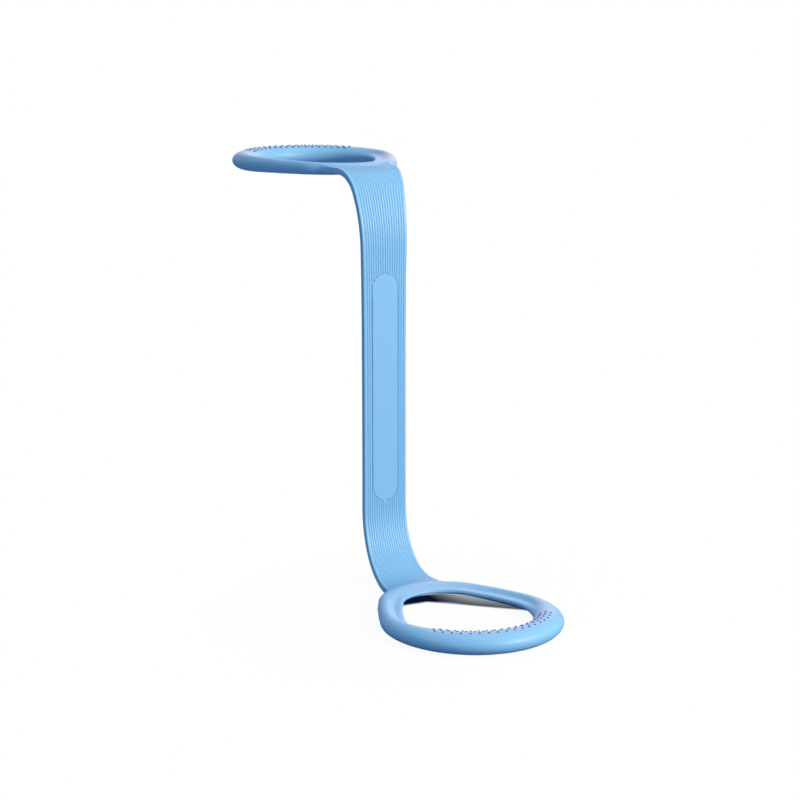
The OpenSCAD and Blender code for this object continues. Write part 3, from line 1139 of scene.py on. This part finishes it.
@dataclass
class Studio:
    """A white floor with a shadow painted inside the lower ring, a soft key lamp from the right, two weak
    lamps and the photograph's viewpoint.
    """

    floor_height: float
    eye: tuple[float, float, float] = (1475.2, -639.0, 131.5)
    aim: tuple[float, float, float] = (143.8, 9.74, -175.95)
    lens: float = 87.5
    sensor: float = 36.0
    floor_reach: float = 12000.0
    backdrop: str = "#ffffff"
    floor_bounce: str = "#6f87a6"
    # From deep_shadow to opening_reach: the colours and limits of a shadow painted onto the floor inside the
    # lower ring.
    deep_shadow: str = "#06142e"
    pale_shadow: str = "#a9b2b4"
    shadow_turn: tuple[float, float] = (7.0, 31.0)
    shadow_paling: tuple[float, float] = (29.5, 55.0)
    shadow_depth: float = 60.0
    shadow_cover: tuple[float, float] = (0.88, 0.95)
    shadow_samples: int = 12
    far_side: tuple[float, float] = (-0.75, 0.66)
    far_edge: tuple[float, float] = (30.0, 34.0)
    far_limit: tuple[float, float] = (55.0, 58.0)
    strap_edge: tuple[float, float] = (-41.0, -45.5)
    opening_reach: tuple[float, float] = (59.0, 62.5)
    shadow_share: float = 0.06
    shadow_centre: tuple[float, float] = (256.0, 0.0)
    shadow_reach: tuple[float, float] = (90.0, 220.0)
    air_colour: str = "#cfe8ff"
    air_strength: float = 0.55
    lamps: tuple[Lamp, ...] = (Lamp("key", (1700.0, 980.0, 560.0), 700.0, 36.0, "#fff5e8"),
                               Lamp("top", (-150.0, 350.0, 1500.0), 800.0, 5.5, "#ffe4de"),
                               Lamp("back", (-1300.0, 800.0, 260.0), 1000.0, 7.0, "#ffc4bc"))

    def build(self) -> None:
        """Sets up the floor, the world, the lamps and the camera."""
        self.floor()
        self.world()
        for lamp in self.lamps:
            self.hang(lamp)
        self.camera()
        bpy.context.scene.view_settings.view_transform = "Standard"

    def floor(self) -> None:
        """Lays the floor: white with a faint share of the object's cast shadow and a painted shadow inside
        the lower ring, grey to other light, and clear from below.
        """
        reach, height = self.floor_reach * MM, self.floor_height * MM
        mesh = bpy.data.meshes.new("studio_floor")
        mesh.from_pydata([(-reach, -reach, height), (reach, -reach, height), (reach, reach, height),
                          (-reach, reach, height)], [], [(0, 1, 2, 3)])
        floor = bpy.data.objects.new("studio_floor", mesh)
        bpy.context.scene.collection.objects.link(floor)
        paper = bpy.data.materials.new("studio_paper")
        tree = bare_tree(paper)
        seen = add_node(tree, "ShaderNodeLightPath").outputs["Is Camera Ray"]
        place = add_node(tree, "ShaderNodeTexCoord").outputs["Object"]
        middle = (self.shadow_centre[0] * MM, self.shadow_centre[1] * MM, height)
        shade, dark = self.contact_shade(tree, place, middle)
        white = mixed_colour(tree, dark, self.backdrop, shade)
        tone = mixed_colour(tree, seen, self.floor_bounce, white)
        matt = add_node(tree, "ShaderNodeBsdfDiffuse", {"Color": tone})
        # The painted shadow glows at its own colour, so no lamp sets how dark it is.
        contact = add_node(tree, "ShaderNodeEmission", {"Color": shade, "Strength": 1.0})
        clear = add_node(tree, "ShaderNodeBsdfTransparent")
        shown = add_node(tree, "ShaderNodeMixShader",
                         {"Fac": dark, 1: clear.outputs["BSDF"], 2: contact.outputs["Emission"]})
        away = add_node(tree, "ShaderNodeVectorMath", {0: place, 1: middle}, operation="DISTANCE")
        fade = ramped(tree, away.outputs["Value"], metres(self.shadow_reach), (1.0 - self.shadow_share, 1.0),
                      eased=True)
        share = worked(tree, "MULTIPLY", seen, fade)
        mixed = add_node(tree, "ShaderNodeMixShader",
                         {"Fac": share, 1: matt.outputs["BSDF"], 2: shown.outputs["Shader"]})
        below = add_node(tree, "ShaderNodeNewGeometry").outputs["Backfacing"]
        sided = add_node(tree, "ShaderNodeMixShader",
                         {"Fac": below, 1: mixed.outputs["Shader"], 2: clear.outputs["BSDF"]})
        add_node(tree, "ShaderNodeOutputMaterial", {"Surface": sided.outputs["Shader"]})
        mesh.materials.append(paper)

    def contact_shade(
            self, tree: bpy.types.NodeTree, place: bpy.types.NodeSocket,
            middle: tuple[float, float, float]) -> tuple[bpy.types.NodeSocket, bpy.types.NodeSocket]:
        """Paints a shadow on the floor where the ring closes over it, on the side away from the lamp; it
        glows at its own colour and is not cast by a lamp.

        Its limits are set round the lower ring's place in the photograph and don't follow the ring.

        Args:
            tree: the floor's shader tree.
            place: the floor's own coordinates.
            middle: the middle of the lower ring's opening.

        Returns:
            The painted shadow's colour, and how dark it makes the floor.
        """
        closed = add_node(tree, "ShaderNodeAmbientOcclusion", {"Distance": self.shadow_depth * MM},
                          samples=self.shadow_samples)
        apart = add_node(tree, "ShaderNodeVectorMath", {0: place, 1: middle}, operation="SUBTRACT")
        across = add_node(tree, "ShaderNodeSeparateXYZ", {"Vector": apart.outputs["Vector"]})
        far = add_node(tree, "ShaderNodeVectorMath", {0: apart.outputs["Vector"], 1: (*self.far_side, 0.0)},
                       operation="DOT_PRODUCT").outputs["Value"]
        out = add_node(tree, "ShaderNodeVectorMath", {0: apart.outputs["Vector"]}, operation="LENGTH")
        past_far = ramped(tree, far, metres(self.far_edge))
        past_strap = ramped(tree, across.outputs["X"], metres(self.strap_edge))
        beyond = worked(tree, "MAXIMUM", past_far, past_strap)
        falling = (1.0, 0.0)
        within = ramped(tree, out.outputs["Value"], metres(self.opening_reach), falling)
        under = ramped(tree, far, metres(self.far_limit), falling)
        dark = ramped(tree, closed.outputs["AO"], self.shadow_cover, falling)
        for limit in (beyond, within, under):
            dark = worked(tree, "MULTIPLY", dark, limit)
        turn = ramped(tree, across.outputs["Y"], metres(self.shadow_turn))
        paling = ramped(tree, far, metres(self.shadow_paling))
        pale = worked(tree, "MULTIPLY", turn, paling)
        return mixed_colour(tree, pale, self.deep_shadow, self.pale_shadow), dark

    def world(self) -> None:
        """Lights the scene evenly from all round, and shows white behind it."""
        sky = bpy.data.worlds.new("studio_air")
        bpy.context.scene.world = sky
        tree = bare_tree(sky)
        ray = add_node(tree, "ShaderNodeLightPath")
        seen = worked(tree, "MAXIMUM", ray.outputs["Is Camera Ray"], ray.outputs["Is Transmission Ray"])
        air, white = (
            add_node(tree, "ShaderNodeBackground", {"Color": linear_colour(colour), "Strength": strength})
            for colour, strength in ((self.air_colour, self.air_strength), (self.backdrop, 1.0)))
        mixed = add_node(tree, "ShaderNodeMixShader",
                         {"Fac": seen, 1: air.outputs["Background"], 2: white.outputs["Background"]})
        add_node(tree, "ShaderNodeOutputWorld", {"Surface": mixed.outputs["Shader"]})

    def hang(self, lamp: Lamp) -> None:
        """Hangs a lamp that faces the middle of the view."""
        light = bpy.data.lights.new(lamp.name, "AREA")
        light.size = lamp.side * MM
        light.energy = lamp.watts
        light.color = linear_colour(lamp.colour)[:3]
        self.aimed(bpy.data.objects.new(lamp.name, light), lamp.place)

    def aimed(self, thing: bpy.types.Object, place: tuple[float, float, float]) -> None:
        """Puts a lamp or the camera in its place and turns it to the middle of the view.

        Args:
            thing: the lamp or the camera.
            place: its place, in millimetres.
        """
        thing.location = Vector(place) * MM
        thing.rotation_euler = (Vector(self.aim) - Vector(place)).to_track_quat("-Z", "Y").to_euler()
        bpy.context.scene.collection.objects.link(thing)

    def camera(self) -> None:
        """Puts the camera where the photograph was taken from."""
        view = bpy.data.cameras.new("photo_view")
        view.lens = self.lens
        view.sensor_width = self.sensor
        camera = bpy.data.objects.new("photo_view", view)
        self.aimed(camera, self.eye)
        bpy.context.scene.camera = camera


def main() -> None:
    """Builds the strap's pieces in order, then the studio."""
    logging.basicConfig(level=logging.INFO, format="%(name)s: %(message)s")
    strap_rubber = MouldedRubber("moulded_rubber_satin", colour="#8bc4ea", shade="#85bfe7",
                                 groove_shade_colour="#85c0e8", roughness=0.45).material()
    panel_rubber = MouldedRubber("moulded_rubber_smooth", colour="#8ac3ec", shade="#87c1ea",
                                 groove_shade_colour="#7ab8e8", roughness=0.45).material()
    # The nubs are painted darker than the moulding they belong to, as the shade round each nub.
    nub_rubber_painted_shade = MouldedRubber("moulded_rubber_painted_shade", colour="#3b70ae", shade="#366aa8",
                               groove_shade_colour="#366aa8", roughness=0.5).material()
    upper = NeckFrame(origin=(103.749, 0.0), tilt=0.0, turned=True)
    lower = NeckFrame(origin=(181.243, -314.613), tilt=1.3635, turned=False)
    band = RibbedBand(StrapLine(upper), strap_rubber)
    for ring in (Ring(End.UPPER, upper), Ring(End.LOWER, lower)):
        ring.build(strap_rubber)
        GripNubs(ring).build(nub_rubber_painted_shade)
        band.build_neck(ring)
        band.build_bend(ring.end)
    StraightStrap(band, LabelPanel(band.line), panel_rubber).build()
    Studio(floor_height=-318.8).build()


if __name__ == "__main__":
    main()
